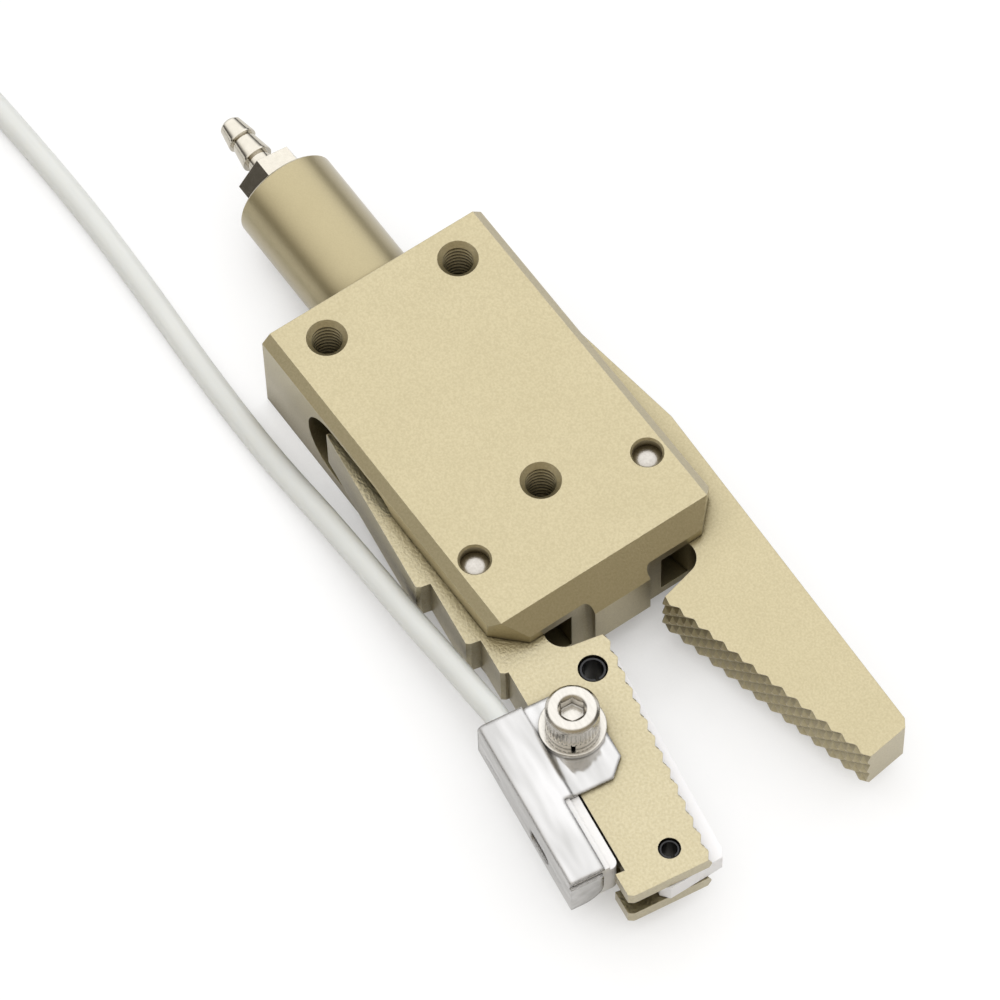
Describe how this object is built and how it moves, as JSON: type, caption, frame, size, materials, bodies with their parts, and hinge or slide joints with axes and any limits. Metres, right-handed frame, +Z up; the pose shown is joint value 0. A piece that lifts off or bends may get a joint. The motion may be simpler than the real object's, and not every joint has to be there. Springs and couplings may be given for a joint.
{
  "type": "pneumatic nozzle clamp",
  "caption": "Pneumatic clamp for a robot arm: pivoting knurled fingers closed by a piston, with a sensing lever, a clipped-on sensor and its cable.",
  "frame": {"origin": "on the lower rest face, under the front mounting thread", "axes": "+X forward to the finger tips, +Z up out of the mounting face, fingers open"},
  "size_m": [0.2499, 0.0628, 0.0181],
  "materials": {
    "gold_anodised": "bead blasted, anodised",
    "dowel_steel": "ground",
    "nickel_plate": "plated",
    "stainless": "bright",
    "black_rubber": "moulded",
    "bronze": "sintered",
    "turned_aluminium": "turned",
    "spring_steel": "drawn wire",
    "black_oxide_steel": "black oxide",
    "white_acetal": "milled",
    "white_housing": "moulded",
    "indicator_window": "clear, dark",
    "cable_sheath": "extruded",
    "nylon": "moulded",
    "wire_insulation": "extruded"
  },
  "bodies": {
    "root": {"body_block": "gold_anodised", "pivot_pin_plain": "dowel_steel", "pivot_pin_sensing": "dowel_steel", "cylinder_barrel": "gold_anodised", "hose_barb": "nickel_plate", "port_gasket": "black_rubber", "rod_bush": "bronze", "return_spring": "spring_steel", "opening_spring": "spring_steel", "sensor_cable": "cable_sheath", "cable_coil": "cable_sheath", "cable_end": "cable_sheath", "cable_tie": "nylon", "lead_wires": "wire_insulation"},
    "sensing_finger": {"sensing_finger": "gold_anodised", "lever_pivot_pin": "black_oxide_steel", "lever_stop_pin": "black_oxide_steel", "lever_spring": "spring_steel", "sensor_clip": "stainless", "sensor_body": "white_housing", "sensor_indicator": "indicator_window", "flat_washer": "stainless", "spring_washer": "stainless", "clip_screw": "stainless"},
    "plain_finger": {"plain_finger": "gold_anodised"},
    "piston": {"piston": "turned_aluminium", "piston_seal": "black_rubber", "piston_rod": "dowel_steel", "push_nose": "dowel_steel"},
    "lever": {"sensing_lever": "white_acetal", "lever_magnet": "nickel_plate"}
  },
  "joints": [
    {"name": "sensing_finger_swing", "type": "hinge", "parent": "root", "child": "sensing_finger", "pos_m": [0.00475, -0.014, 0.008], "axis": [0, 0, 1], "range_deg": [0, 12.5], "stiffness_Nm_per_rad": 0.3, "springref_deg": -8.59, "deforming": ["opening_spring"]},
    {"name": "plain_finger_swing", "type": "hinge", "parent": "root", "child": "plain_finger", "pos_m": [0.00475, 0.014, 0.008], "axis": [0, 0, -1], "range_deg": [0, 12.5], "deforming": ["opening_spring"]},
    {"name": "piston_slide", "type": "slide", "parent": "root", "child": "piston", "axis": [1, 0, 0], "range_m": [0, 0.011], "deforming": ["return_spring"]},
    {"name": "sensing_lever_swing", "type": "hinge", "parent": "sensing_finger", "child": "lever", "pos_m": [0.02515, -0.00942, 0.008], "axis": [0, 0, -1], "range_deg": [0, 4], "stiffness_Nm_per_rad": 0.03, "springref_deg": -5.73, "deforming": ["lever_spring"]}
  ],
  "couplings": [
    {"joint": "plain_finger_swing", "follows": "sensing_finger_swing", "ratio": 1},
    {"joint": "piston_slide", "follows": "sensing_finger_swing", "m_per_rad": 0.05042}
  ]
}
